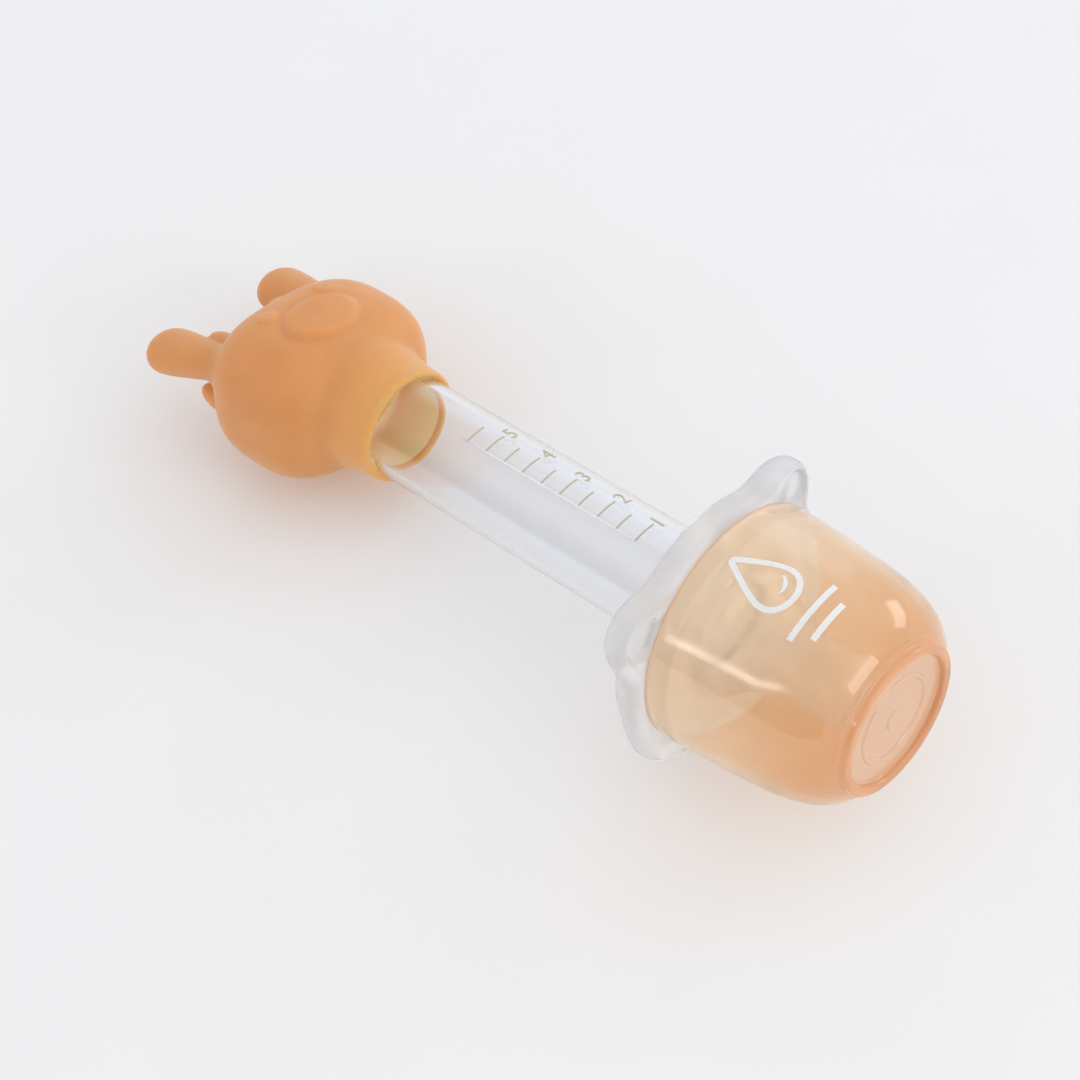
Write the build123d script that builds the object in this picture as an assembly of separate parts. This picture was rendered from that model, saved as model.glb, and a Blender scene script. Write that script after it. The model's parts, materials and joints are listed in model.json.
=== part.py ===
"""Oral medicine dropper for small children, lying at rest on a table.

A soft squeeze bulb shaped like an animal's head is pushed on one end of a clear barrel with a raised
scale. The other end carries a soft nipple with a wide mouth shield, under a push-on dust cap.

Everything is drawn along the barrel first: X runs along the barrel to the cap, with X = 0 at the cap's
mouth, and Z is the side that the shield's ears point to. The last section lays the dropper down, so that
the shield's cheeks and the back of the bulb rest on the plane z = 0. Millimetres throughout.
"""

from build123d import *
from math import cos, pi, radians, sin
import os

# --- Driving dimensions ---------------------------------------------------------------------------

# Barrel: a straight tube of 5 mL, with a cone and a nozzle at the nipple's end.
BARREL_R = 8.0
BORE_R = 6.75
BARREL_REAR = -70.5
BARREL_FRONT = 0.4
CONE_START = -4.5
CONE_END = 1.2
NOZZLE_R = 2.4
NOZZLE_BORE_R = 1.0
NOZZLE_TIP = 6.5

# Raised scale on the barrel, from 1 mL to 5.5 mL in steps of half a millilitre.
MARK_ONE = -14.8
MARK_STEP = 3.51
MARK_COUNT = 10
MARK_WIDTH = 0.3
MARK_HEIGHT = 0.15
RAIL_ANGLE = -9.8
RAIL_WIDTH_ANGLE = 2.1
MAJOR_ANGLE = 18.5
MINOR_ANGLE = 14.6
RAIL_OVERRUN = 1.2

# Squeeze bulb: a rounded head, a neck collar that grips the barrel, ears and small horns.
HEAD_X = -80.8
HEAD_HALF_LENGTH = 12.5
HEAD_HALF_WIDTH = 16.4
HEAD_HALF_DEPTH = 12.15
HEAD_Z = -0.7
HEAD_POWER = 0.72
HEAD_STEPS = 6
HEAD_POINTS = 20
HEAD_END = 0.93
HEAD_WALL = 2.0
HEAD_TURN = -14.0
CAVITY_FRONT = -72.0
COLLAR_LIP = -61.3
COLLAR_R = 9.1
COLLAR_LEAD = 1.0
NECK_R = 9.9
NECK_LENGTH = 3.0
NECK_HOLE_R = 6.0
COLLAR_BORE_R = BARREL_R + 0.05
EAR_ROOT = (-92.0, 10.6, 2.2)
EAR_TIP = (-101.9, 11.3, -0.3)
EAR_HALF_WIDTH = 4.4
EAR_HALF_DEPTH = 3.3
EAR_END_R = 3.7
EAR_ROOT_SHARE = 0.78
HORN_R = 2.05
HORN_REACH = 4.6
FRONT_HORN = (-94.2, 6.2, 1.4)
REAR_HORN = (-91.9, 10.3, -4.9)
MUZZLE = (-79.7, 4.7, 6.5)
MUZZLE_HEIGHT = 0.6
EYE = (-85.6, 5.5, 1.5)
EYE_HEIGHT = 0.35

# The cheek that the thumb presses in: an oval panel of the bulb's wall, with a gap all round.
CHEEK_HALF_LENGTH = 7.6
CHEEK_HALF_HEIGHT = 5.6
CHEEK_GAP = 0.3

# Mouth shield and nipple, one soft moulding.
SHIELD_BACK = -4.9
SHIELD_FRONT = -0.1
SHIELD_R = 19.6
SHIELD_DROP = 0.8
SHIELD_EDGE_R = 2.2
SHIELD_NOTCH_R = 4.5
SHIELD_EAR_R = 5.9
SHIELD_EAR_REACH = 17.4
SHIELD_EAR_ANGLE = 52.0
CHEEK_LOBE_R = 9.5
CHEEK_LOBE_REACH = 12.9
CHEEK_LOBE_ANGLE = 133.0
EAR_DISH_R = 3.2
EAR_DISH_DEPTH = 1.6
EAR_DISH_OFFSET = 1.6
PLUG_R = 16.7
PLUG_FRONT = 2.7
NIPPLE_ROOT_R = 11.0
NIPPLE_SHOULDER_X = 6.2
NIPPLE_SHOULDER_R = 7.6
NIPPLE_WAIST_X = 14.0
NIPPLE_WAIST_R = 4.9
NIPPLE_BULGE_X = 19.0
NIPPLE_BULGE_R = 5.3
NIPPLE_TIP = 23.4
NIPPLE_TIP_R = 2.0
NIPPLE_WALL = 1.7
NIPPLE_MOUTH_R = 7.3
NIPPLE_FEED_R = 0.6

# Dust cap.
CAP_MOUTH_R = 17.85
CAP_INNER_R = PLUG_R + 0.05
CAP_GRIP = 3.4
CAP_WALL = 1.1
CAP_SHOULDER_X = 13.0
CAP_SHOULDER_R = 17.05
CAP_BEND_X = 20.0
CAP_BEND_R = 16.1
CAP_CORNER_X = 24.6
CAP_CORNER_R = 14.2
CAP_RING_R = 11.2
CAP_RING_ROOT = 26.6
CAP_RING_FRONT = 27.9
CAP_FLOOR_FRONT = 27.0
CAP_RING_INNER_R = 9.7
CAP_RING_EDGE = 0.4

# Rest on the table: the barrel leans by this angle, with the cap's end up.
LEAN = 4.72


# --- Helpers --------------------------------------------------------------------------------------


def turned(points):
    """A solid of revolution about the barrel's axis, from an outline of (x, radius) corners."""
    outline = make_face(Polyline(*[(x, r, 0) for x, r in points], close=True))
    return revolve(outline, Axis.X)


def rounded_body(half_length, half_width, half_depth):
    """A soft, slightly square head form about the origin, lofted through superellipse sections."""
    sections = []
    for step in range(-HEAD_STEPS, HEAD_STEPS + 1):
        along = sin(pi / 2 * HEAD_END * step / HEAD_STEPS)
        size = (1 - abs(along) ** (2 / HEAD_POWER)) ** (HEAD_POWER / 2)
        points = []
        for i in range(HEAD_POINTS):
            angle = 2 * pi * i / HEAD_POINTS
            side = abs(cos(angle)) ** HEAD_POWER * (1 if cos(angle) > 0 else -1)
            up = abs(sin(angle)) ** HEAD_POWER * (1 if sin(angle) > 0 else -1)
            points.append((along * half_length, side * size * half_width, up * size * half_depth))
        sections.append(make_face(Spline(*points, periodic=True)))
    return loft(sections)


def ellipsoid(centre, semi_axes):
    """An ellipsoid about a centre."""
    largest = max(semi_axes)
    ball = scale(Sphere(largest), by=tuple(a / largest for a in semi_axes))
    return Pos(*centre) * ball


def oval_prism(centre_x, centre_z, half_x, half_z, y_from, y_to):
    """An oval bar along Y."""
    outline = Plane.XZ * Pos(centre_x, centre_z) * Ellipse(half_x, half_z)
    bar = extrude(outline, amount=y_to - y_from, dir=(0, 1, 0))
    return Pos(0, y_from, 0) * bar


def mirrored(point):
    """The same point on both sides of the head."""
    x, y, z = point
    return [(x, y, z), (x, -y, z)]


# --- Barrel and scale -----------------------------------------------------------------------------


def make_barrel():
    """Clear tube, with the cone and nozzle in one moulding."""
    outside = turned(
        [
            (BARREL_REAR, 0),
            (BARREL_REAR, BARREL_R - 0.4),
            (BARREL_REAR + 0.4, BARREL_R),
            (BARREL_FRONT, BARREL_R),
            (BARREL_FRONT, NOZZLE_R + 0.6),
            (BARREL_FRONT + 1.2, NOZZLE_R),
            (NOZZLE_TIP - 0.4, NOZZLE_R - 0.2),
            (NOZZLE_TIP, NOZZLE_R - 0.5),
            (NOZZLE_TIP, 0),
        ]
    )
    inside = turned(
        [
            (BARREL_REAR - 1, 0),
            (BARREL_REAR - 1, BORE_R),
            (CONE_START, BORE_R),
            (CONE_END, NOZZLE_BORE_R),
            (NOZZLE_TIP + 1, NOZZLE_BORE_R),
            (NOZZLE_TIP + 1, 0),
        ]
    )
    return outside - inside


def arc_strip(x_from, x_to, angle_from, angle_to):
    """A raised strip on the barrel, between two places along it and two angles from the top."""
    band = make_face(
        Polyline(
            (x_from, 0, BARREL_R),
            (x_to, 0, BARREL_R),
            (x_to, 0, BARREL_R + MARK_HEIGHT),
            (x_from, 0, BARREL_R + MARK_HEIGHT),
            close=True,
        )
    )
    start = Rot(-angle_from, 0, 0) * band
    return revolve(start, Axis((0, 0, 0), (-1, 0, 0)), angle_to - angle_from)


def make_scale():
    """The raised rail and ticks. Whole millilitres have the longer ticks."""
    half = MARK_WIDTH / 2
    last = MARK_ONE - MARK_STEP * (MARK_COUNT - 1)
    rail_end = RAIL_ANGLE + RAIL_WIDTH_ANGLE
    marks = arc_strip(last - RAIL_OVERRUN, MARK_ONE + half, RAIL_ANGLE, rail_end)
    for i in range(MARK_COUNT):
        x = MARK_ONE - MARK_STEP * i
        top = MAJOR_ANGLE if i % 2 == 0 else MINOR_ANGLE
        marks += arc_strip(x - half, x + half, RAIL_ANGLE, top)
    return marks


# --- Bulb -----------------------------------------------------------------------------------------


def make_head_outside():
    """The outer form of the bulb's head."""
    form = rounded_body(HEAD_HALF_LENGTH, HEAD_HALF_WIDTH, HEAD_HALF_DEPTH)
    return Pos(HEAD_X, 0, HEAD_Z) * form


def make_head_cavity():
    """The air space inside the head."""
    back = HEAD_X - HEAD_HALF_LENGTH + HEAD_WALL
    half_length = (CAVITY_FRONT - back) / 2
    form = rounded_body(half_length, HEAD_HALF_WIDTH - HEAD_WALL, HEAD_HALF_DEPTH - HEAD_WALL)
    return Pos(back + half_length, 0, HEAD_Z) * form


def make_ear(side):
    """A plump paddle ear, from its root in the crown to its round end."""

    def section(centre, half_width, half_depth):
        x, y, z = centre
        across = Plane((x, side * y, z), x_dir=(0, 1, 0), z_dir=(-1, 0, 0))
        return across * Ellipse(half_width, half_depth)

    root = section(EAR_ROOT, EAR_HALF_WIDTH * EAR_ROOT_SHARE, EAR_HALF_DEPTH * EAR_ROOT_SHARE)
    end = section(EAR_TIP, EAR_HALF_WIDTH, EAR_HALF_DEPTH)
    blade = loft([root, end])
    x, y, z = EAR_TIP
    return blade + ellipsoid((x, side * y, z), (EAR_END_R, EAR_HALF_WIDTH, EAR_HALF_DEPTH))


def raised_pad(place, height):
    """A shallow oval pad on the face: the head's own form grown a little, inside an oval bar."""
    x, y, half_x, half_y = place
    grown = rounded_body(HEAD_HALF_LENGTH + height, HEAD_HALF_WIDTH + height, HEAD_HALF_DEPTH + height)
    bar = extrude(Pos(x, y) * Ellipse(half_x, half_y), amount=2 * HEAD_HALF_DEPTH)
    return (Pos(HEAD_X, 0, HEAD_Z) * grown) & bar


def make_collar():
    """The neck collar, with its rounded lip."""
    head_front = HEAD_X + HEAD_HALF_LENGTH
    return turned(
        [
            (CAVITY_FRONT - COLLAR_LEAD, 0),
            (CAVITY_FRONT - COLLAR_LEAD, NECK_R),
            (head_front + COLLAR_LEAD, NECK_R),
            (head_front + COLLAR_LEAD + NECK_LENGTH, COLLAR_R + 0.2),
            (COLLAR_LIP - 0.6, COLLAR_R),
            (COLLAR_LIP, COLLAR_R - 0.5),
            (COLLAR_LIP, 0),
        ]
    )


def make_bulb():
    """The whole bulb as one hollow moulding, and the cheek panel cut out of its near side."""
    body = make_head_outside() + make_collar()
    for side in (1, -1):
        body += make_ear(side)
    for horn in mirrored(FRONT_HORN) + mirrored(REAR_HORN):
        body += ellipsoid(horn, (HORN_REACH, HORN_R, HORN_R))
    x, half_x, half_y = MUZZLE
    body += raised_pad((x, 0, half_x, half_y), MUZZLE_HEIGHT)
    x, y, radius = EYE
    for side in (1, -1):
        body += raised_pad((x, side * y, radius * 1.2, radius), EYE_HEIGHT)
    body -= make_head_cavity()
    body -= turned(
        [
            (COLLAR_LIP + 1, 0),
            (COLLAR_LIP + 1, COLLAR_BORE_R),
            (BARREL_REAR - 0.1, COLLAR_BORE_R),
            (BARREL_REAR - 0.1, NECK_HOLE_R),
            (CAVITY_FRONT - 2, NECK_HOLE_R),
            (CAVITY_FRONT - 2, 0),
        ]
    )
    outer = -HEAD_HALF_WIDTH - 1
    inner = -HEAD_HALF_WIDTH / 2
    window = oval_prism(HEAD_X, HEAD_Z, CHEEK_HALF_LENGTH, CHEEK_HALF_HEIGHT, outer, inner)
    panel_bar = oval_prism(
        HEAD_X, HEAD_Z, CHEEK_HALF_LENGTH - CHEEK_GAP, CHEEK_HALF_HEIGHT - CHEEK_GAP, outer, inner
    )
    turn = Rot(HEAD_TURN, 0, 0)
    return turn * (body - window), turn * (body & panel_bar)


# --- Nipple and shield ----------------------------------------------------------------------------


def disc(radius, reach=0.0, angle=0.0):
    """A disc across the barrel, its centre at a reach and an angle from the top."""
    side = reach * sin(radians(angle))
    up = reach * cos(radians(angle))
    return Plane.YZ * Pos(side, up) * Circle(radius)


def make_shield():
    """Mouth shield with two ears and two cheeks, the plug that the cap fits, and the hollow nipple."""
    lobes = disc(SHIELD_R, SHIELD_DROP, 180)
    for side in (1, -1):
        lobes += disc(SHIELD_EAR_R, SHIELD_EAR_REACH, side * SHIELD_EAR_ANGLE)
        lobes += disc(CHEEK_LOBE_R, CHEEK_LOBE_REACH, side * CHEEK_LOBE_ANGLE)
    plate = Pos(SHIELD_BACK, 0, 0) * extrude(lobes, amount=SHIELD_FRONT - SHIELD_BACK, dir=(1, 0, 0))
    notches = plate.edges().filter_by(Axis.X)
    plate = fillet(notches, SHIELD_NOTCH_R)
    rims = plate.faces().filter_by(Axis.X).edges()
    plate = fillet(rims, SHIELD_EDGE_R)
    for side in (1, -1):
        dish = disc(EAR_DISH_R, SHIELD_EAR_REACH + EAR_DISH_OFFSET, side * SHIELD_EAR_ANGLE)
        cut = extrude(dish, amount=EAR_DISH_DEPTH + 1, dir=(1, 0, 0))
        plate -= Pos(SHIELD_FRONT - EAR_DISH_DEPTH, 0, 0) * cut
    return plate + make_nipple_outside() - make_nipple_inside()


def make_nipple_outside():
    """The plug and the nipple's outer form."""
    teat = Spline(
        (PLUG_FRONT, NIPPLE_ROOT_R),
        (NIPPLE_SHOULDER_X, NIPPLE_SHOULDER_R),
        (NIPPLE_WAIST_X, NIPPLE_WAIST_R),
        (NIPPLE_BULGE_X, NIPPLE_BULGE_R),
        (NIPPLE_TIP, NIPPLE_TIP_R),
        tangents=((0.5, -1), (0.15, -1)),
    )
    rest = Polyline(
        (NIPPLE_TIP, NIPPLE_TIP_R),
        (NIPPLE_TIP, 0),
        (SHIELD_BACK + 1, 0),
        (SHIELD_BACK + 1, PLUG_R),
        (PLUG_FRONT - 0.5, PLUG_R),
        (PLUG_FRONT, PLUG_R - 0.5),
        (PLUG_FRONT, NIPPLE_ROOT_R),
    )
    return revolve(make_face([teat, rest]), Axis.X)


def make_nipple_inside():
    """The bore that grips the barrel, and the hollow of the nipple up to its feed hole."""
    seat = BARREL_FRONT + 0.1
    teat = Spline(
        (seat, NIPPLE_MOUTH_R),
        (NIPPLE_SHOULDER_X, NIPPLE_SHOULDER_R - 1.3 * NIPPLE_WALL),
        (NIPPLE_WAIST_X, NIPPLE_WAIST_R - NIPPLE_WALL),
        (NIPPLE_BULGE_X, NIPPLE_BULGE_R - NIPPLE_WALL),
        (NIPPLE_TIP - NIPPLE_WALL, NIPPLE_FEED_R),
        tangents=((1, -0.2), (0.15, -1)),
    )
    rest = Polyline(
        (NIPPLE_TIP - NIPPLE_WALL, NIPPLE_FEED_R),
        (NIPPLE_TIP + 1, NIPPLE_FEED_R),
        (NIPPLE_TIP + 1, 0),
        (SHIELD_BACK - 1, 0),
        (SHIELD_BACK - 1, COLLAR_BORE_R),
        (seat, COLLAR_BORE_R),
        (seat, NIPPLE_MOUTH_R),
    )
    return revolve(make_face([teat, rest]), Axis.X)


# --- Dust cap -------------------------------------------------------------------------------------


def make_cap():
    """A rounded cup with a thick base ring that it can stand on."""
    shoulder = (CAP_SHOULDER_X, CAP_SHOULDER_R)
    slope = (CAP_SHOULDER_X, CAP_SHOULDER_R - CAP_MOUTH_R)
    ring_root = (CAP_RING_ROOT, CAP_RING_R + 2 * CAP_RING_EDGE)
    wall_curve = Spline(
        shoulder,
        (CAP_BEND_X, CAP_BEND_R),
        (CAP_CORNER_X, CAP_CORNER_R),
        ring_root,
        tangents=(slope, (0.35, -1)),
    )
    rest = Polyline(
        ring_root,
        (CAP_FLOOR_FRONT, CAP_RING_R),
        (CAP_RING_FRONT - CAP_RING_EDGE, CAP_RING_R),
        (CAP_RING_FRONT, CAP_RING_R - CAP_RING_EDGE),
        (CAP_RING_FRONT, CAP_RING_INNER_R + CAP_RING_EDGE / 2),
        (CAP_RING_FRONT - CAP_RING_EDGE / 2, CAP_RING_INNER_R),
        (CAP_FLOOR_FRONT, CAP_RING_INNER_R),
        (CAP_FLOOR_FRONT, 0),
        (0, 0),
        (0, CAP_MOUTH_R),
        shoulder,
    )
    outside = revolve(make_face([wall_curve, rest]), Axis.X)
    inner_shoulder = (CAP_SHOULDER_X, CAP_SHOULDER_R - CAP_WALL)
    floor_edge = (CAP_FLOOR_FRONT - CAP_WALL, CAP_RING_R - 0.6)
    inner_curve = Spline(
        inner_shoulder,
        (CAP_BEND_X - 0.4, CAP_BEND_R - CAP_WALL),
        (CAP_CORNER_X - 0.6, CAP_CORNER_R - 0.9),
        floor_edge,
        tangents=(slope, (0.2, -1)),
    )
    inner_rest = Polyline(
        floor_edge,
        (CAP_FLOOR_FRONT - CAP_WALL, 0),
        (-1, 0),
        (-1, CAP_INNER_R),
        (CAP_GRIP, CAP_INNER_R),
        inner_shoulder,
    )
    inside = revolve(make_face([inner_curve, inner_rest]), Axis.X)
    return outside - inside


# --- Lay the dropper down and write the parts -----------------------------------------------------

bulb_shell, bulb_cheek = make_bulb()
nodes = {
    "barrel": make_barrel(),
    "scale_marks": make_scale(),
    "bulb_shell": bulb_shell,
    "bulb_cheek": bulb_cheek,
    "nipple_shield": make_shield(),
    "dust_cap": make_cap(),
}
leaning = {name: Rot(0, -LEAN, 0) * solid for name, solid in nodes.items()}
box = Compound(children=[Compound(solid.wrapped) for solid in leaning.values()]).bounding_box()
to_rest = Pos(-(box.min.X + box.max.X) / 2, 0, -box.min.Z)
os.makedirs("parts", exist_ok=True)
for name, solid in leaning.items():
    placed = to_rest * solid
    export_step(placed, f"parts/{name}.step")
    low = placed.bounding_box().min
    print(name, "lowest", round(low.Z, 3), "volume", round(placed.volume, 1))
print("shift to rest", to_rest.position)
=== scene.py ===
"""Looks of the medicine dropper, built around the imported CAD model.

The forms are worked out in millimetres in the barrel's own frame, with X along the barrel, X = 0 at the cap's
mouth and Z towards the shield's ears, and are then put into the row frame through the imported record.
"""

import json
from math import atan2, cos, pi, radians, sin, tan

import bmesh
import bpy
import numpy as np
from mathutils import Matrix, Vector


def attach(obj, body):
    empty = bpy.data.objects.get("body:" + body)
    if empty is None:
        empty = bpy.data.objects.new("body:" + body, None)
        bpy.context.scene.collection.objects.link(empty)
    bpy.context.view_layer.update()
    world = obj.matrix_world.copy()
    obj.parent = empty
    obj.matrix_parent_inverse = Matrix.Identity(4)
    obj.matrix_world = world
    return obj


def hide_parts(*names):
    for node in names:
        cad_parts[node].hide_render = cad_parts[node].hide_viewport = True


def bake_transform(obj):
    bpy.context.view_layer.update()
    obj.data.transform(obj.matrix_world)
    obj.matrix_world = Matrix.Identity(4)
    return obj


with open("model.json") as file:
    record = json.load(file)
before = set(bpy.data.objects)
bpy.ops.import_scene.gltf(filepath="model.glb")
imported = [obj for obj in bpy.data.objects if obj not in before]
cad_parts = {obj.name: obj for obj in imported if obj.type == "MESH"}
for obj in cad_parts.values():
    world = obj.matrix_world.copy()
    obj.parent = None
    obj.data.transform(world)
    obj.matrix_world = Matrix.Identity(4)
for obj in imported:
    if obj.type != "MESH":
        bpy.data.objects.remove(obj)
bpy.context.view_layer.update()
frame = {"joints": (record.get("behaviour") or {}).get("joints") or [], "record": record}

# --- Sizes, in millimetres, as in the CAD source ---------------------------------------------------

BARREL_R = 8.0
BORE_R = 6.75
BARREL_REAR = -70.5
BARREL_FRONT = 0.4
CONE_START = -4.5
CONE_END = 1.2
NOZZLE_R = 2.4
NOZZLE_BORE_R = 1.0
NOZZLE_TIP = 6.5

MARK_ONE = -14.8
MARK_STEP = 3.51
MARK_COUNT = 10
TICK_WIDTH = 0.24
RAIL_ANGLE = -9.8
RAIL_WIDTH_ANGLE = 2.1
RAIL_OVERRUN = 1.2
MAJOR_ANGLE = 18.5
MINOR_ANGLE = 14.6
DIGIT_START = 23.5
DIGIT_HEIGHT = 2.5
DIGIT_DEPTH = 0.12

HEAD_X = -80.8
HEAD_HALF = (12.5, 16.4, 12.15)
HEAD_Z = -0.7
HEAD_POWER = 2 / 0.72
HEAD_WALL = 2.0
HEAD_TURN = -14.0
CAVITY_FRONT = -72.0
COLLAR_LIP = -61.3
COLLAR_R = 9.1
NECK_R = 9.9
NECK_HOLE_R = 6.0
FIT = 0.05
EAR_ROOT = (-91.0, 10.5, 2.2)
EAR_TIP = (-101.9, 11.3, -0.3)
EAR_END_R = 3.7
EAR_HALF_WIDTH = 4.4
EAR_HALF_DEPTH = 3.3
HORN_R = 2.05
HORN_REACH = 4.6
FRONT_HORN = (-94.2, 6.2, 1.4)
REAR_HORN = (-91.9, 10.3, -4.9)
# The muzzle is its place along the barrel and its half sizes. An eye is its x, its y and its half sizes.
MUZZLE = (-79.7, 4.7, 6.5)
EYE = (-85.6, 5.5, 1.7, 1.5)

SHIELD_BACK = -4.9
SHIELD_FRONT = -0.1
SHIELD_R = 19.6
SHIELD_DROP = 0.8
# An ear or cheek lobe of the shield is its radius, its distance from the barrel's axis and its angle from up.
SHIELD_EAR = (5.9, 17.4, 52.0)
EAR_DISH_OFFSET = 1.6
EAR_DISH_R = 3.2
SHIELD_CHEEK = (9.5, 12.9, 133.0)
PLUG_R = 16.7
PLUG_FRONT = 2.7
NIPPLE_TIP = 23.4

CAP_INNER_R = PLUG_R + FIT
CAP_RING_FRONT = 27.9
CAP_EDGE_X = 0.45
CAP_BASE_X = 26.8
CAP_FLOOR_X = 25.9
CAP_FLOOR_R = 9.55
MOUNT_POINT = (CAP_RING_FRONT, 10.35, 0.0)

# --- The barrel's frame in the row ------------------------------------------------------------------

joints = {joint["name"]: joint for joint in frame["joints"]}
along = Vector(joints["nipple_pull"]["axis"])
base = next(m for m in frame["record"]["mounts"] if m["name"] == "cap_base")
TILT = Matrix.Rotation(-atan2(along.z, along.x), 4, "Y") @ Matrix.Scale(0.001, 4)
TO_ROW = Matrix.Translation(Vector(base["pos_m"]) - TILT @ Vector(MOUNT_POINT)) @ TILT
HEAD_TO_ROW = TO_ROW @ Matrix.Rotation(radians(HEAD_TURN), 4, "X")


# --- Mesh helpers -----------------------------------------------------------------------------------


def add_mesh(name, points, faces, matrix):
    """A smooth-shaded mesh object, from points in millimetres and a matrix into the row frame."""
    mesh = bpy.data.meshes.new(name)
    turn = np.array(matrix)
    placed = np.asarray(points, float) @ turn[:3, :3].T + turn[:3, 3]
    mesh.from_pydata(placed.tolist(), [], [list(map(int, f)) for f in faces])
    mesh.update()
    mesh.shade_smooth()
    obj = bpy.data.objects.new(name, mesh)
    bpy.context.scene.collection.objects.link(obj)
    return obj


def finish_piece(obj, body, slot, material, *nodes):
    """Materials, the body that the piece rides on, and the CAD nodes it stands for."""
    obj.data.materials.clear()
    obj.data.materials.append(material)
    if body:
        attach(obj, body)
    if nodes:
        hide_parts(*nodes)
    return obj


def slopes(field, points):
    """The gradient of a field at points, by central differences."""
    e = 1e-3
    out = np.empty_like(points)
    for axis in range(3):
        step = np.zeros(3)
        step[axis] = e
        out[:, axis] = (field(*(points + step).T) - field(*(points - step).T)) / (2 * e)
    return out


def onto(field, points, rounds=3):
    """Points moved on to the zero surface of a field."""
    for _ in range(rounds):
        grad = slopes(field, points)
        move = field(*points.T)[:, None] * grad / ((grad**2).sum(1)[:, None] + 1e-6)
        length = np.linalg.norm(move, axis=1)[:, None]
        points = points - move * np.minimum(1, 0.3 / np.maximum(length, 1e-9))
    return points


def skin(field, low, high, step):
    """Points and quads on the zero surface of a field, which is negative inside the solid."""
    ticks = [np.arange(a, b + step, step) for a, b in zip(low, high)]
    values = field(*np.meshgrid(*ticks, indexing="ij"))
    inside = values < 0
    n = [len(t) - 1 for t in ticks]

    def part(array, corner):
        return array[tuple(slice(c, c + m) for c, m in zip(corner, n))]

    corners = [(i, j, k) for i in (0, 1) for j in (0, 1) for k in (0, 1)]
    count = sum(part(inside, c).astype(int) for c in corners)
    mixed = (count > 0) & (count < 8)
    cells = np.argwhere(mixed)
    index = np.full(mixed.shape, -1)
    index[mixed] = np.arange(len(cells))
    total, hits = np.zeros((len(cells), 3)), np.zeros(len(cells))
    for a in corners:
        for axis in range(3):
            if a[axis]:
                continue
            b = tuple(c + (i == axis) for i, c in enumerate(a))
            va, vb = part(values, a)[mixed], part(values, b)[mixed]
            cross = (va < 0) != (vb < 0)
            t = va[cross] / (va[cross] - vb[cross])
            total[cross] += np.array(a) + t[:, None] * (np.array(b) - np.array(a))
            hits += cross
    points = (cells + total / hits[:, None]) * step + np.array(low)
    quads = []
    for axis in range(3):
        u, v = (axis + 1) % 3, (axis + 2) % 3
        here = np.moveaxis(inside, (axis, u, v), (0, 1, 2))
        ids = np.moveaxis(index, (axis, u, v), (0, 1, 2))
        a, b = here[:-1, 1:-1, 1:-1], here[1:, 1:-1, 1:-1]
        for flip, found in ((False, a & ~b), (True, b & ~a)):
            i, j, k = np.nonzero(found)
            ring = [ids[i, j, k], ids[i, j + 1, k], ids[i, j + 1, k + 1], ids[i, j, k + 1]]
            quads.append(np.stack(ring[::-1] if flip else ring, 1))
    quads = np.concatenate(quads)
    points = onto(field, points)
    # Evens the quads out along the surface.
    for _ in range(3):
        sums, counts = np.zeros_like(points), np.zeros(len(points))
        for shift in (1, 3):
            other = np.roll(quads, shift, axis=1).ravel()
            np.add.at(sums, quads.ravel(), points[other])
            np.add.at(counts, quads.ravel(), 1)
        points = onto(field, 0.5 * points + 0.5 * sums / counts[:, None], 2)
    return points, quads


def smooth_min(a, b, k):
    """The smaller of two distances, with a fillet of about k where they meet."""
    h = np.maximum(k - np.abs(a - b), 0) / k
    return np.minimum(a, b) - h * h * k / 4


def smooth_max(a, b, k):
    """The larger of two distances, with the corner eased by about k."""
    return -smooth_min(-a, -b, k)


def smooth_step(low, high, value):
    """Eases from 0 to 1 as the value goes from low to high."""
    t = np.clip((value - low) / (high - low), 0, 1)
    return t * t * (3 - 2 * t)


def egg(x, y, z, half, power=2.0):
    """Nearly the distance to a superellipsoid about the origin."""
    u = [np.abs(c / h) + 1e-9 for c, h in zip((x, y, z), half)]
    size = sum(c**power for c in u) ** (1 / power)
    slope = np.sqrt(sum((c ** (power - 1) / h) ** 2 for c, h in zip(u, half))) * size ** (1 - power)
    return (size - 1) / np.maximum(slope, 1e-6)


def rounded_profile(corners, longest=1.2):
    """A closed outline of (x, radius) points, from corners (x, radius, fillet), with short even runs."""
    outline = []
    count = len(corners)
    for i, (x, r, fillet) in enumerate(corners):
        here = np.array((x, r))
        before = np.array(corners[i - 1][:2]) - here
        after = np.array(corners[(i + 1) % count][:2]) - here
        la, lb = np.linalg.norm(before), np.linalg.norm(after)
        if fillet <= 0:
            outline.append(here)
            continue
        before, after = before / la, after / lb
        half = np.arccos(np.clip(before @ after, -1, 1)) / 2
        reach = min(fillet / tan(half), 0.49 * la, 0.49 * lb)
        start, end = here + before * reach, here + after * reach
        for t in np.linspace(0, 1, 7):
            outline.append((1 - t) ** 2 * start + 2 * t * (1 - t) * here + t * t * end)
    full = []
    for a, b in zip(outline, outline[1:] + outline[:1]):
        run = np.linalg.norm(b - a)
        if run < 1e-6:
            continue
        if run > 0.6:
            stops = [0, 0.06 / run, *np.linspace(0, 1, int(run / longest) + 2)[1:-1], 1 - 0.06 / run]
        else:
            stops = [0]
        full += [a + (b - a) * t for t in stops]
    return np.array(full)


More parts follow.
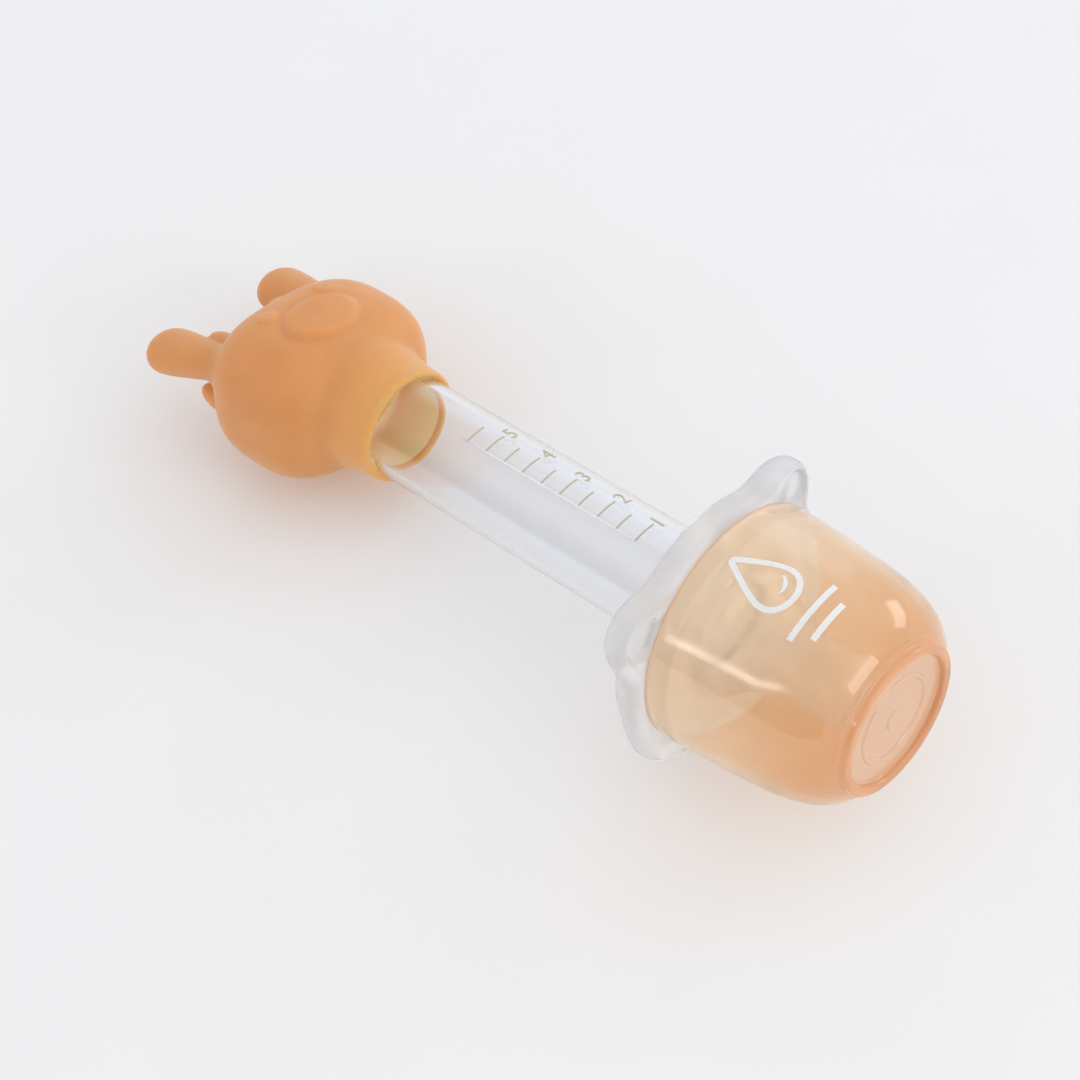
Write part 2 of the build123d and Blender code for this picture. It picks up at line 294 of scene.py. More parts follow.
def curve_through(points, count=60):
    """A smooth line through points, as a Catmull-Rom spline."""
    points = np.array(points, float)
    padded = np.vstack([2 * points[0] - points[1], points, 2 * points[-1] - points[-2]])
    out = []
    for i in range(1, len(padded) - 2):
        a, b, c, d = padded[i - 1 : i + 3]
        for t in np.linspace(0, 1, count // (len(points) - 1), endpoint=False):
            square, cube = 2 * a - 5 * b + 4 * c - d, 3 * b - a - 3 * c + d
            out.append(0.5 * (2 * b + (c - a) * t + square * t**2 + cube * t**3))
    return out + [points[-1]]


def lathe(name, profile, matrix, segments=160):
    """A ring of quads round the barrel's axis for each run of a closed profile."""
    count = len(profile)
    turns = np.arange(segments) * 2 * pi / segments
    points = np.empty((segments, count, 3))
    points[:, :, 0] = profile[:, 0]
    points[:, :, 1] = profile[:, 1] * np.sin(turns)[:, None]
    points[:, :, 2] = profile[:, 1] * np.cos(turns)[:, None]
    faces = []
    for s in range(segments):
        t = (s + 1) % segments
        for i in range(count):
            j = (i + 1) % count
            faces.append((s * count + i, t * count + i, t * count + j, s * count + j))
    obj = add_mesh(name, points.reshape(-1, 3), faces, matrix)
    merge_doubles(obj)
    return obj


def merge_doubles(obj):
    """Joins the points that fall together on the axis, and turns the faces outwards."""
    mesh = bmesh.new()
    mesh.from_mesh(obj.data)
    bmesh.ops.remove_doubles(mesh, verts=mesh.verts, dist=1e-7)
    bmesh.ops.recalc_face_normals(mesh, faces=mesh.faces)
    mesh.to_mesh(obj.data)
    mesh.free()
    obj.data.shade_smooth()


# --- Materials --------------------------------------------------------------------------------------


class Material:
    """A Principled material with a few noise-driven details."""

    def __init__(self, name, **sockets):
        self.data = bpy.data.materials.new(name)
        self.data.use_nodes = True
        self.tree = self.data.node_tree
        self.shader = self.tree.nodes["Principled BSDF"]
        for key, value in sockets.items():
            self.shader.inputs[key.replace("_", " ")].default_value = value
        self.coords = self.node("ShaderNodeTexCoord").outputs["Object"]

    def node(self, kind, **values):
        """A new node, with values for its inputs or its settings."""
        made = self.tree.nodes.new(kind)
        for key, value in values.items():
            if key in made.inputs.keys():
                made.inputs[key].default_value = value
            else:
                setattr(made, key, value)
        return made

    def link(self, a, b):
        self.tree.links.new(a, b)

    def noise(self, scale, detail=3.0, roughness=0.5):
        """Noise in the row frame, at a scale per metre."""
        found = self.node("ShaderNodeTexNoise", Scale=scale, Detail=detail, Roughness=roughness)
        self.link(self.coords, found.inputs["Vector"])
        return found.outputs["Fac"]

    def spread(self, value, low, high, from_low=0.3, from_high=0.7):
        """A value stretched to run from low to high."""
        ranged = self.node("ShaderNodeMapRange")
        numbers = {"From Min": from_low, "From Max": from_high, "To Min": low, "To Max": high}
        for key, number in numbers.items():
            ranged.inputs[key].default_value = number
        self.link(value, ranged.inputs["Value"])
        return ranged.outputs["Result"]

    def colours(self, value, *stops):
        """A colour ramp over a value, with (place, colour) stops."""
        node = self.node("ShaderNodeValToRGB")
        ramp = node.color_ramp
        while len(ramp.elements) < len(stops):
            ramp.elements.new(0.5)
        for element, (place, colour) in zip(ramp.elements, stops):
            element.position = place
            element.color = (*colour, 1)
        self.link(value, node.inputs["Fac"])
        return node.outputs["Color"]

    def distance_along(self):
        """Distance along the barrel from the cap's mouth, in millimetres."""
        start = TO_ROW @ Vector((0, 0, 0))
        way = (TO_ROW @ Vector((1, 0, 0)) - start).normalized() * 1000
        from_mouth = self.node("ShaderNodeVectorMath", operation="SUBTRACT")
        from_mouth.inputs[1].default_value = start
        self.link(self.coords, from_mouth.inputs[0])
        dot = self.node("ShaderNodeVectorMath", operation="DOT_PRODUCT")
        dot.inputs[1].default_value = way
        self.link(from_mouth.outputs["Vector"], dot.inputs[0])
        return dot.outputs["Value"]

    def between(self, factor, a, b):
        """A colour going from a to b with a factor."""
        mix = self.node("ShaderNodeMix", data_type="RGBA")
        self.link(factor, mix.inputs["Factor"])
        self.link(a, mix.inputs["A"])
        self.link(b, mix.inputs["B"])
        return mix.outputs["Result"]

    def bump(self, *layers):
        """Bump from (height, strength, distance in metres) layers."""
        normal = None
        for height, strength, distance in layers:
            node = self.node("ShaderNodeBump", Strength=strength, Distance=distance)
            self.link(height, node.inputs["Height"])
            if normal:
                self.link(normal, node.inputs["Normal"])
            normal = node.outputs["Normal"]
        self.link(normal, self.shader.inputs["Normal"])

    def use(self, value, socket):
        """Sends a value to a socket of the main shader."""
        self.link(value, self.shader.inputs[socket])

    def pass_light(self, share, *tint):
        """Lets a share of lamp and scattered light through, tinted at each surface, as a thin wall does."""
        path = self.node("ShaderNodeLightPath")
        either = self.node("ShaderNodeMath", operation="MAXIMUM")
        self.link(path.outputs["Is Shadow Ray"], either.inputs[0])
        self.link(path.outputs["Is Diffuse Ray"], either.inputs[1])
        clear = self.node("ShaderNodeBsdfTransparent", Color=(*tint, 1))
        mix = self.node("ShaderNodeMixShader")
        part = self.node("ShaderNodeMath", operation="MULTIPLY")
        part.inputs[1].default_value = share
        self.link(either.outputs[0], part.inputs[0])
        self.link(part.outputs[0], mix.inputs["Fac"])
        self.link(self.shader.outputs[0], mix.inputs[1])
        self.link(clear.outputs[0], mix.inputs[2])
        self.link(mix.outputs[0], self.tree.nodes["Material Output"].inputs["Surface"])


def silicone_material(name, share, *bands):
    """Apricot silicone: satin, slightly translucent, with a very fine moulded grain, faint mottling and a
    painted glow that makes the thin collar lighter and yellower.
    """
    made = Material(
        name, Subsurface_Weight=0.75, Subsurface_Scale=0.0045, Subsurface_Radius=(1.0, 0.55, 0.28),
        IOR=1.41, Sheen_Weight=0.12, Sheen_Roughness=0.5, Specular_IOR_Level=0.42,
    )
    mottle = made.spread(made.noise(160, 4), 0, 1)
    head, collar = (made.colours(mottle, (0.0, low), (1.0, high)) for low, high in bands)
    # Towards the collar the colour goes to the second band: painted glow, the thin collar made lighter and
    # yellower than the head as if lit through.
    thin = made.spread(made.distance_along(), 0, 1, -72.0, -64.0)
    made.use(made.between(thin, head, collar), "Base Color")
    made.use(made.spread(made.noise(900, 3), 0.42, 0.52), "Roughness")
    made.bump((made.noise(5200, 2), 0.12, 0.00005), (made.noise(420, 2), 0.08, 0.0003))
    made.pass_light(share, 1.0, 0.85, 0.66)
    return made.data


def barrel_material():
    """Clear plastic with faint flow lines and fine handling marks."""
    made = Material(
        "clear_barrel_plastic", Transmission_Weight=1.0, IOR=1.47, Base_Color=(0.955, 0.965, 0.98, 1),
    )
    made.use(made.spread(made.noise(700, 4), 0.015, 0.03), "Roughness")
    made.bump((made.noise(3000, 2), 0.02, 0.00001))
    made.pass_light(1.0, 0.94, 0.945, 0.955)
    return made.data


def shield_material():
    """Milky clear silicone with a satin skin."""
    made = Material(
        "milky_silicone", Transmission_Weight=0.68, IOR=1.41, Subsurface_Weight=0.4, Subsurface_Scale=0.004,
        Subsurface_Radius=(1.0, 1.0, 1.0), Specular_IOR_Level=0.5,
    )
    cloud = made.noise(240, 3)
    tone = made.colours(made.spread(cloud, 0, 1), (0.0, (0.885, 0.92, 0.965)), (1.0, (0.925, 0.955, 0.99)))
    made.use(tone, "Base Color")
    made.use(made.spread(made.noise(600, 3), 0.17, 0.22), "Roughness")
    made.bump((made.noise(900, 3), 0.04, 0.00005))
    made.pass_light(1.0, 0.92, 0.92, 0.93)
    return made.data


def cap_material(name, mouth, base, clear, tint):
    """Translucent peach plastic, glossy, with soft flow variation, and deeper in colour towards its base."""
    made = Material(name, Transmission_Weight=clear, IOR=1.46, Specular_IOR_Level=0.5)
    flow = made.spread(made.noise(90, 3), 0, 1)
    pale, deep = (made.colours(flow, (0.0, low), (1.0, high)) for low, high in (mouth, base))
    made.use(made.between(made.spread(made.distance_along(), 0, 1, 11, 25), pale, deep), "Base Color")
    made.use(made.spread(made.noise(500, 4), 0.08, 0.13), "Roughness")
    made.bump((made.noise(70, 2), 0.05, 0.0008))
    made.pass_light(1.0, *tint)
    return made.data


def ink_material(name, low, high, roughness):
    """Printed or moulded marks with slightly uneven cover."""
    made = Material(name)
    made.use(made.colours(made.spread(made.noise(2500, 3), 0, 1), (0.0, low), (1.0, high)), "Base Color")
    made.use(made.spread(made.noise(1500, 2), roughness, roughness + 0.12), "Roughness")
    made.bump((made.noise(4000, 2), 0.1, 0.00005))
    return made.data


HEAD_BAND = ((0.655, 0.295, 0.098), (0.695, 0.325, 0.112))
# The collar band is painted glow: the same silicone as the head, lighter and yellower on the thin collar.
COLLAR_GLOW_BAND = ((0.69, 0.355, 0.112), (0.73, 0.385, 0.128))
# The inside band is painted light: the same silicone, made much lighter so that the bore and cavity look lit
# through the wall and the clear barrel.
INNER_PAINTED_LIGHT_BAND = ((0.98, 0.70, 0.41), (0.99, 0.74, 0.45))
SILICONE = silicone_material("apricot_silicone", 0.55, HEAD_BAND, COLLAR_GLOW_BAND)
SILICONE_INSIDE_PAINTED_LIGHT = silicone_material("apricot_silicone_inside_painted_light", 0.8, INNER_PAINTED_LIGHT_BAND, INNER_PAINTED_LIGHT_BAND)
CLEAR = barrel_material()
MILKY = shield_material()
MOUTH_BAND = ((0.95, 0.75, 0.54), (0.97, 0.79, 0.585))
BASE_BAND = ((0.885, 0.60, 0.37), (0.905, 0.64, 0.42))
EDGE_BAND = ((0.84, 0.42, 0.21), (0.88, 0.46, 0.24))
FLOOR_BAND = ((0.85, 0.615, 0.44), (0.88, 0.655, 0.485))
PEACH = cap_material("peach_plastic", MOUTH_BAND, BASE_BAND, 0.82, (0.98, 0.89, 0.80))
PEACH_EDGE = cap_material("peach_plastic_edge", EDGE_BAND, EDGE_BAND, 0.5, (0.98, 0.84, 0.72))
PEACH_FLOOR = cap_material("peach_plastic_floor", FLOOR_BAND, FLOOR_BAND, 0.6, (0.98, 0.88, 0.78))
# The rail's pale, nearly white colour is a painted highlight on the moulded ridge.
RAIL = ink_material("rail_painted_highlight", (0.80, 0.81, 0.84), (0.86, 0.87, 0.89), 0.2)
MARKS = ink_material("tan_marks", (0.50, 0.42, 0.28), (0.58, 0.50, 0.34), 0.35)
PRINT = ink_material("white_print", (0.80, 0.78, 0.77), (0.86, 0.84, 0.83), 0.4)


# --- Squeeze bulb -----------------------------------------------------------------------------------


def paddle(x, y, z):
    """A plump ear from its root to its round end, wider at the end."""
    root, tip = np.array(EAR_ROOT), np.array(EAR_TIP)
    span = tip - root
    run = (x - root[0]) * span[0] + (y - root[1]) * span[1] + (z - root[2]) * span[2]
    t = np.clip(run / (span @ span), 0, 1)
    grow = 0.76 + 0.24 * smooth_step(0, 1, t)
    dx, dy, dz = x - root[0] - t * span[0], y - root[1] - t * span[1], z - root[2] - t * span[2]
    return egg(dx, dy, dz, (EAR_END_R * grow, EAR_HALF_WIDTH * grow, EAR_HALF_DEPTH * grow))


def bulb_outside(x, y, z):
    """The bulb's outer form: the head with its face, the ears and horns, and the collar."""
    side = np.abs(y)
    head = egg(x - HEAD_X, y, z - HEAD_Z, HEAD_HALF, HEAD_POWER)
    mx, m_half_x, m_half_y = MUZZLE
    q = np.hypot((x - mx) / m_half_x, y / m_half_y)
    above = smooth_step(0, 2, z)
    groove = 0.14 * np.exp(-(((q - 1.12) / 0.13) ** 2))
    head = head - above * 0.6 * (1 - smooth_step(0.8, 1.05, q)) + above * groove
    ex, ey, e_half_x, e_half_y = EYE
    q = np.hypot((x - ex) / e_half_x, (side - ey) / e_half_y)
    head = head - above * 0.3 * (1 - smooth_step(0.7, 1.15, q))
    body = smooth_min(head, paddle(x, side, z), 1.6)
    for hx, hy, hz in (FRONT_HORN, REAR_HORN):
        body = smooth_min(body, egg(x - hx, side - hy, z - hz, (HORN_REACH, HORN_R, HORN_R)), 0.7)
    r = np.hypot(y, z)
    neck = NECK_R - (NECK_R - COLLAR_R) * smooth_step(-69.5, -63.0, x)
    collar = smooth_max(r - neck, x - COLLAR_LIP, 1.1)
    collar = smooth_max(collar, -75.0 - x, 0.5)
    return smooth_min(body, collar, 1.6)


def bulb_field(x, y, z):
    """The bulb with its cavity, the barrel's seat and the hole between them."""
    back = HEAD_X - HEAD_HALF[0] + HEAD_WALL
    half = ((CAVITY_FRONT - back) / 2, HEAD_HALF[1] - HEAD_WALL, HEAD_HALF[2] - HEAD_WALL)
    cavity = egg(x - back - half[0], y, z - HEAD_Z, half, HEAD_POWER)
    r = np.hypot(y, z)
    bore = np.maximum(r - BARREL_R - FIT, BARREL_REAR - 0.1 - x)
    hole = np.maximum(r - NECK_HOLE_R, CAVITY_FRONT - 2 - x)
    hollow = np.minimum(smooth_min(cavity, hole, 0.5), bore)
    return smooth_max(bulb_outside(x, y, z), -hollow, 0.35)


BULB_STEP = 0.42
points, quads = skin(bulb_field, (-107.5, -18.2, -15.2), (-60.2, 18.2, 13.4), BULB_STEP)
bulb = add_mesh("squeeze_bulb", points, quads, HEAD_TO_ROW)
finish_piece(bulb, None, "bulb_silicone", SILICONE, "bulb_shell", "bulb_cheek")
# The faces inside the bulb get the much lighter copy, whose colour is painted light.
bulb.data.materials.append(SILICONE_INSIDE_PAINTED_LIGHT)
centres = np.array([points[quad].mean(axis=0) for quad in quads])
bulb.data.polygons.foreach_set("material_index", (bulb_outside(*centres.T) < -0.8).astype(np.int32))
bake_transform(bulb)


# --- Barrel -----------------------------------------------------------------------------------------

# The rear end sits slightly in the bulb's seat, so that the soft wall shows through it with no gap.
seated_rear = BARREL_REAR - 0.3
barrel_corners = [
    (seated_rear, BORE_R, 0.15), (CONE_START, BORE_R, 0.8), (CONE_END, NOZZLE_BORE_R, 0.3),
    (NOZZLE_TIP, NOZZLE_BORE_R, 0.15), (NOZZLE_TIP, NOZZLE_R - 0.4, 0.25),
    (BARREL_FRONT + 1.2, NOZZLE_R, 0.5), (BARREL_FRONT, NOZZLE_R + 0.6, 0.3),
    (BARREL_FRONT, BARREL_R, 0.3), (seated_rear, BARREL_R, 0.4),
]
barrel = lathe("clear_barrel", rounded_profile(barrel_corners), TO_ROW)
finish_piece(barrel, "barrel", "clear_plastic", CLEAR, "barrel")


def wrapped_text(name, text, x, start_angle, height, radius, depth):
    """Raised lettering on the barrel: its up points to the bulb, and it reads round the barrel towards +Y."""
    curve = bpy.data.curves.new(name, "FONT")
    curve.body = text
    curve.size = height / 0.7
    curve.extrude = depth / 2
    curve.offset = -0.012 * height
    curve.resolution_u = 6
    flat = bpy.data.objects.new(name, curve)
    bpy.context.scene.collection.objects.link(flat)
    bpy.context.view_layer.update()
    mesh = bpy.data.meshes.new_from_object(flat.evaluated_get(bpy.context.evaluated_depsgraph_get()))
    bpy.data.objects.remove(flat)
    co = np.array([v.co for v in mesh.vertices])
    faces = [tuple(p.vertices) for p in mesh.polygons]
    bpy.data.meshes.remove(mesh)
    middle = (co[:, 1].min() + co[:, 1].max()) / 2
    left = co[:, 0].min()
    angle = radians(start_angle) + (co[:, 0] - left) / radius
    out = radius + co[:, 2] + depth / 2
    return np.stack([x - (co[:, 1] - middle), out * np.sin(angle), out * np.cos(angle)], 1), faces


digit_points, digit_faces = [], []
for number in range(1, 6):
    place = MARK_ONE - 2 * MARK_STEP * (number - 1)
    sizes = (DIGIT_START, DIGIT_HEIGHT, BARREL_R - 0.01, DIGIT_DEPTH)
    co, faces = wrapped_text(f"digit_{number}", str(number), place, *sizes)
    digit_faces += [tuple(i + len(digit_points) for i in face) for face in faces]
    digit_points += list(co)
digits = add_mesh("scale_digits", digit_points, digit_faces, TO_ROW)
for polygon in digits.data.polygons:
    polygon.use_smooth = False
finish_piece(digits, "barrel", "scale_ink", MARKS)


def arc_strips(name, strips, height, segments=14):
    """Raised strips on the barrel, each (x from, x to, angle from, angle to), with eased edges."""
    points, faces = [], []
    for x_from, x_to, angle_from, angle_to in strips:
        middle, half = (x_from + x_to) / 2, (x_to - x_from) / 2
        left = [(-half, -0.02), (-half, 0.6 * height), (-0.6 * half, height)]
        section = left + [(-dx, rise) for dx, rise in reversed(left)]
        start = len(points)
        for angle in np.linspace(radians(angle_from), radians(angle_to), segments):
            for dx, rise in section:
                radius = BARREL_R + rise
                points.append((middle + dx, radius * sin(angle), radius * cos(angle)))
        n = len(section)
        for i in range(segments - 1):
            for j in range(n):
                k = (j + 1) % n
                here, there = start + i * n, start + (i + 1) * n
                faces.append((here + j, here + k, there + k, there + j))
        faces.append(tuple(start + j for j in reversed(range(n))))
        faces.append(tuple(start + (segments - 1) * n + j for j in range(n)))
    obj = add_mesh(name, points, faces, TO_ROW)
    merge_doubles(obj)
    return obj


strips = []
half_tick = TICK_WIDTH / 2
for i in range(MARK_COUNT):
    x = MARK_ONE - MARK_STEP * i
    reach = MAJOR_ANGLE if i % 2 == 0 else MINOR_ANGLE
    strips.append((x - half_tick, x + half_tick, RAIL_ANGLE + 1.2, reach))
ticks = arc_strips("scale_ticks", strips, 0.12)
finish_piece(ticks, "barrel", "scale_ink", MARKS, "scale_marks")
# The rail is a moulded ridge; its pale colour is a painted highlight.
rail_from = MARK_ONE - MARK_STEP * (MARK_COUNT - 1) - RAIL_OVERRUN
rail_strip = (rail_from, MARK_ONE + half_tick, RAIL_ANGLE, RAIL_ANGLE + RAIL_WIDTH_ANGLE)
rail = arc_strips("scale_rail", [rail_strip], 0.13, 6)
finish_piece(rail, "barrel", "clear_plastic", RAIL)


# --- Nipple and shield ------------------------------------------------------------------------------


def shield_outline(y, z):
    """Distance to the shield's outline, across the barrel."""
    side = np.abs(y)
    out = np.hypot(side, z + SHIELD_DROP) - SHIELD_R
    radius, reach, angle = SHIELD_EAR
    ear = np.hypot(side - reach * sin(radians(angle)), z - reach * cos(radians(angle))) - radius
    radius, reach, angle = SHIELD_CHEEK
    cheek = np.hypot(side - reach * sin(radians(angle)), z - reach * cos(radians(angle))) - radius
    return smooth_min(smooth_min(out, ear, 3.2), cheek, 3.0)


def ear_distance(y, z):
    """Distance from the middle of the dish in the nearer ear."""
    _, reach, angle = SHIELD_EAR
    reach += EAR_DISH_OFFSET
    return np.hypot(np.abs(y) - reach * sin(radians(angle)), z - reach * cos(radians(angle)))


# The nipple's outer and inner forms, as (x, radius) points from its root to its tip.
NIPPLE_OUT = curve_through([
    (2.7, 11.0), (4.2, 9.4), (6.2, 7.6), (8.6, 6.2), (11.5, 5.15), (14.0, 4.9), (16.5, 5.1), (19.0, 5.3),
    (21.3, 4.7), (22.7, 3.5), (NIPPLE_TIP, 2.0),
])
NIPPLE_IN = curve_through([
    (0.5, 7.3), (3.0, 6.9), (6.2, 5.4), (8.6, 4.2), (11.5, 3.4), (14.0, 3.2), (16.5, 3.4), (19.0, 3.6),
    (20.6, 2.6), (21.7, 0.6),
])


def shield_field(x, y, z):
    """The shield's plate, the plug that holds the cap, and the hollow nipple."""
    flat = shield_outline(y, z)
    edge = 2.35
    # The front face is dished a little inside the rim, and more within the ears.
    rim = smooth_step(1.5, 2.3, -flat)
    in_ear = 1 - smooth_step(EAR_DISH_R - 0.6, EAR_DISH_R + 0.4, ear_distance(y, z))
    front = SHIELD_FRONT - 0.35 * rim - 1.2 * in_ear
    back = SHIELD_BACK + 0.7 * smooth_step(1.6, 4.5, -flat)
    a, b = flat + edge, np.maximum(x - front, back - x) + edge
    plate = np.minimum(np.maximum(a, b), 0) + np.hypot(np.maximum(a, 0), np.maximum(b, 0)) - edge
    r = np.hypot(y, z)
    plug = smooth_max(r - PLUG_R, x - PLUG_FRONT, 0.8)
    plug = smooth_max(plug, SHIELD_BACK + 1 - x, 0.5)
    out = np.interp(x, *zip(*NIPPLE_OUT))
    teat = smooth_max((r - out) * 0.8, x - NIPPLE_TIP, 1.2)
    teat = np.maximum(teat, PLUG_FRONT - 1.5 - x)
    body = smooth_min(smooth_min(plate, plug, 0.8), teat, 1.2)
    inner = np.interp(x, *zip(*NIPPLE_IN))
    hollow = np.minimum(smooth_max((r - inner) * 0.85, 0.5 - x, 0.3), np.maximum(r - BARREL_R - FIT, x - 0.5))
    return smooth_max(body, -hollow, 0.3)


SHIELD_STEP = 0.42
points, quads = skin(shield_field, (-6.3, -22.5, -23.5), (24.6, 22.5, 19.5), SHIELD_STEP)
shield = add_mesh("nipple_and_shield", points, quads, TO_ROW)
finish_piece(shield, "nipple_shield", "nipple_silicone", MILKY, "nipple_shield")


# --- Dust cap ---------------------------------------------------------------------------------------

# The cap's wall, as (x, radius) points: outside from the mouth to the ring, inside back to the plug's grip.
CAP_WALL_LINE = [
    (0, 17.85), (6.5, 17.5), (13.0, 17.05), (17.0, 16.68), (20.0, 16.1), (22.6, 15.25), (24.6, 14.1),
    (25.9, 12.9), (26.6, 12.05),
]
CAP_INSIDE_LINE = [
    (CAP_FLOOR_X, 10.6), (25.2, 12.0), (24.0, 13.3), (22.0, 14.4), (19.6, 15.15), (16.5, 15.65),
    (13.0, 15.95), (8.0, 16.4), (3.4, CAP_INNER_R),
]
outer = curve_through(CAP_WALL_LINE)
inner = curve_through(CAP_INSIDE_LINE)
ring = rounded_profile(
    [
        (26.6, 12.05, 0), (26.95, 11.25, 0.3), (CAP_RING_FRONT, 11.2, 0.42), (CAP_RING_FRONT, 9.75, 0.42),
        (27.05, 9.6, 0.3),
        (27.0, 6.8, 0.12), (27.2, 6.6, 0.12), (27.2, 6.15, 0.12), (27.0, 5.95, 0.12),
        (27.0, 1.6, 0.12), (27.2, 1.35, 0.12), (27.2, 0, 0),
    ]
)
ring = [p for p in ring if p[1] >= 0]
stop = next(i for i, p in enumerate(ring) if p[1] < 1e-6)
floor_run = [(CAP_FLOOR_X, r) for r in np.linspace(0, 10.4, 12)]
profile = [(0.0, 17.6), (0.06, 17.78)] + [tuple(p) for p in outer[1:-1]]
profile += [tuple(p) for p in ring[: stop + 1]] + floor_run + [tuple(p) for p in inner]
profile += [(1.2, CAP_INNER_R), (0.15, CAP_INNER_R + 0.01), (0.0, CAP_INNER_R + 0.2)]
profile = np.array(profile)
cap = lathe("dust_cap_cup", profile, TO_ROW, 192)
finish_piece(cap, "dust_cap", "cap_plastic", PEACH, "dust_cap")
cap.data.materials.append(PEACH_EDGE)
cap.data.materials.append(PEACH_FLOOR)
from_row = TO_ROW.inverted()
for polygon in cap.data.polygons:
    spot = from_row @ polygon.center
    radius = (spot.y**2 + spot.z**2) ** 0.5
    if (spot.x > CAP_BASE_X and radius > CAP_FLOOR_R) or spot.x < CAP_EDGE_X:
        polygon.material_index = 1
    elif spot.x > CAP_FLOOR_X - 0.1 and radius < CAP_FLOOR_R:
        polygon.material_index = 2


def cap_radius(x):
    """The cap's outer radius at a place along the barrel."""
    return np.interp(x, *zip(*outer))


PRINT_ANGLE = radians(-5.0)
PRINT_X = 11.0
PRINT_ARC_R = 16.8
PRINT_SCALE = 1.3


def ribbon(path, widths, lift=0.05, depth=0.06):
    """A thin raised band on the cap along a path of (x, angle in millimetres of arc) points."""
    path, widths = np.array(path, float), np.array(widths, float) * PRINT_SCALE
    path = (path - (PRINT_X, 0)) * PRINT_SCALE + (PRINT_X, 0)
    tangent = np.gradient(path, axis=0)
    tangent /= np.maximum(np.linalg.norm(tangent, axis=1)[:, None], 1e-9)
    across = np.stack([-tangent[:, 1], tangent[:, 0]], 1) * widths[:, None] / 2
    made, faces = [], []
    for level in (lift - depth, lift):
        for edge in (path + across, path - across):
            radius = cap_radius(edge[:, 0]) + level
            angle = PRINT_ANGLE + edge[:, 1] / PRINT_ARC_R
            made.append(np.stack([edge[:, 0], radius * np.sin(angle), radius * np.cos(angle)], 1))
    n = len(path)
    points = np.concatenate(made)
    low_a, low_b, top_a, top_b = 0, n, 2 * n, 3 * n
    for i in range(n - 1):
        for p, q in ((top_a, top_b), (top_b, low_b), (low_b, low_a), (low_a, top_a)):
            faces.append((p + i, q + i, q + i + 1, p + i + 1))
    for i in (0, n - 1):
        faces.append((top_a + i, low_a + i, low_b + i, top_b + i))
    return points, faces


# A plain drop with a highlight, and two bars beside it.
print_points, print_faces = [], []


def stamp(path, widths):
    """Adds one band to the print."""
    co, faces = ribbon(path, widths)
    print_faces.extend(tuple(i + len(print_points) for i in face) for face in faces)
    print_points.extend(co)


drop = []
for t in np.linspace(0, 2 * pi, 65):
    pinch = 0.5 * (1 + cos(t))
    drop.append((PRINT_X - 1.0 - 3.0 * cos(t) - 1.6 * pinch**3, 3.0 * sin(t) * (1 - 0.72 * pinch**1.6)))
stamp(drop, np.full(len(drop), 0.62))
glint = [(PRINT_X - 1.0 + 1.55 * cos(t), 1.6 * sin(t)) for t in np.linspace(radians(-10), radians(70), 15)]
stamp(glint, 0.42 * np.sin(np.linspace(0.35, pi - 0.35, 15)))
for i, length in enumerate((7.5, 5.0)):
    x = PRINT_X + 4.2 + 1.9 * i
    bar = [(x, s) for s in np.linspace(-length / 2, length / 2, 17)]
    stamp(bar, np.full(17, 0.62))
cap_print = add_mesh("cap_print", print_points, print_faces, TO_ROW)
merge_doubles(cap_print)
for polygon in cap_print.data.polygons:
    polygon.use_smooth = False
finish_piece(cap_print, "dust_cap", "cap_plastic", PRINT)


# --- Camera, floor and light ------------------------------------------------------------------------

EYE_AT = (143.49, -132.04, 257.76)
LOOK = (-0.51892, 0.37878, -0.76632)
RIGHT = (0.72917, 0.66401, -0.16555)
UP = (-0.44613, 0.64469, 0.62076)
turn = TO_ROW.to_3x3().normalized()
columns = [turn @ Vector(RIGHT), turn @ Vector(UP), -(turn @ Vector(LOOK))]
placed = Matrix([[c[i] for c in columns] for i in range(3)]).to_4x4()
placed.translation = TO_ROW @ Vector(EYE_AT)
lens = bpy.data.cameras.new("camera")
lens.sensor_width = 36.0
lens.lens = 80.0
lens.clip_start, lens.clip_end = 0.01, 50.0
camera = bpy.data.objects.new("camera", lens)
camera.matrix_world = placed
bpy.context.scene.collection.objects.link(camera)
bpy.context.scene.camera = camera

floor_corners = [(-6, -6, 0), (6, -6, 0), (6, 6, 0), (-6, 6, 0)]
floor = add_mesh("floor", floor_corners, [(0, 1, 2, 3)], Matrix.Identity(4))
paper = Material("floor_paper", Specular_IOR_Level=0.1)
fibres = paper.spread(paper.noise(40, 3), 0, 1)
paper.use(paper.colours(fibres, (0.0, (0.865, 0.860, 0.858)), (1.0, (0.875, 0.871, 0.869))), "Base Color")
paper.use(paper.spread(paper.noise(200, 3), 0.85, 0.95), "Roughness")
floor.data.materials.append(paper.data)

world = bpy.data.worlds.new("studio")
world.use_nodes = True
background = world.node_tree.nodes["Background"]
background.inputs["Color"].default_value = (0.965, 0.975, 1.0, 1)
background.inputs["Strength"].default_value = 0.80
bpy.context.scene.world = world


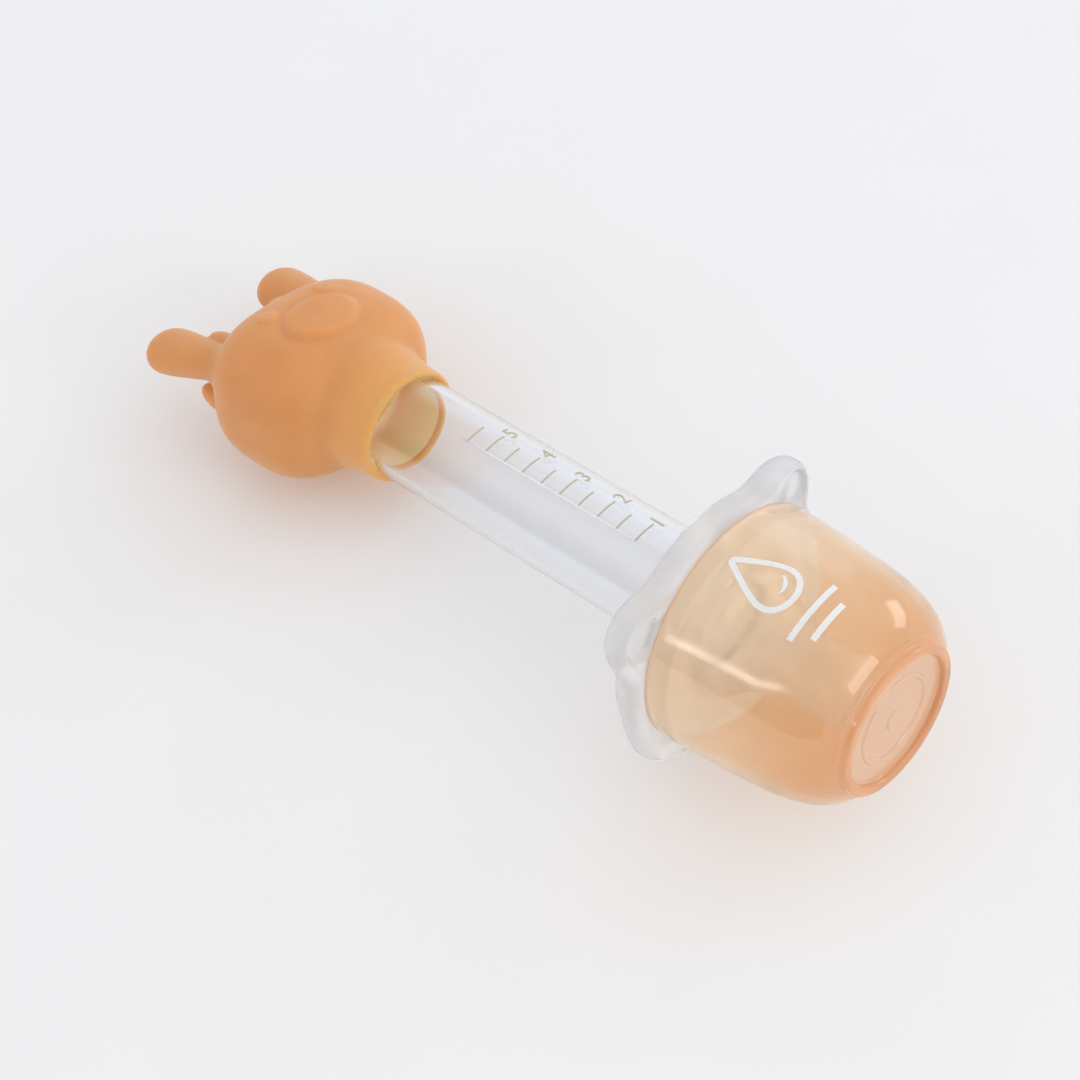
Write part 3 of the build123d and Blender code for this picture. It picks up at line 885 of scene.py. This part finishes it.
def sun(name, azimuth, elevation, strength, spread, colour=(1, 1, 1)):
    """Soft light from far away. Azimuth 0 is +X and 90 is +Y."""
    light = bpy.data.lights.new(name, "SUN")
    light.energy, light.angle, light.color = strength, radians(spread), colour
    obj = bpy.data.objects.new(name, light)
    obj.rotation_mode = "QUATERNION"
    obj.rotation_quaternion = heading(azimuth, elevation).to_track_quat("Z", "Y")
    bpy.context.scene.collection.objects.link(obj)


def heading(azimuth, elevation):
    """The way from the object to a lamp, as a unit vector."""
    a, e = radians(azimuth), radians(elevation)
    return Vector((cos(a) * cos(e), sin(a) * cos(e), sin(e)))


def softbox(name, azimuth, elevation, distance, width, height, power, roll=0.0, colour=(1, 1, 1)):
    """A lamp that shows in reflections, aimed near the cap, with its distance and size in metres."""
    light = bpy.data.lights.new(name, "AREA")
    light.shape, light.size, light.size_y, light.energy = "RECTANGLE", width, height, power
    light.color = colour
    obj = bpy.data.objects.new(name, light)
    way = heading(azimuth, elevation)
    obj.location = AIM + way * distance
    obj.rotation_mode = "QUATERNION"
    rolled = Matrix.Rotation(radians(roll), 3, "Z").to_quaternion()
    obj.rotation_quaternion = way.to_track_quat("Z", "Y") @ rolled
    bpy.context.scene.collection.objects.link(obj)


AIM = Vector((0.045, 0, 0.02))
sun("key", 60, 55, 0.40, 75)
softbox("side_strip", -108, 27, 0.9, 0.44, 0.075, 0.5, roll=45)
softbox("window", 72, 14, 0.9, 0.5, 0.22, 1.15)
softbox("long_window", 6, 28, 0.9, 0.5, 0.2, 1.2)
softbox("sky_window", 123, 16, 1.1, 0.6, 0.55, 0.6, colour=(0.5, 0.72, 1.0))

# A grey card that shows only in reflections and through clear pieces, darkest near the floor.
left, right, away, top = -2.2, 1.5, -1.4, 1.6
card_corners = [(left, away, 0), (right, away, 0), (right, away, top), (left, away, top)]
card = add_mesh("dark_card", card_corners, [(0, 1, 2, 3)], Matrix.Identity(4))
card.visible_camera = card.visible_diffuse = card.visible_shadow = False
felt = Material("card_felt", Specular_IOR_Level=0.1)
split = felt.node("ShaderNodeSeparateXYZ")
felt.link(felt.coords, split.inputs[0])
rise = felt.spread(split.outputs["Z"], 0, 1, 0.35, top)
felt.use(felt.colours(rise, (0.0, (0.05, 0.05, 0.06)), (1.0, (0.85, 0.85, 0.86))), "Base Color")
card.data.materials.append(felt.data)
bpy.context.scene.view_settings.view_transform = "Standard"
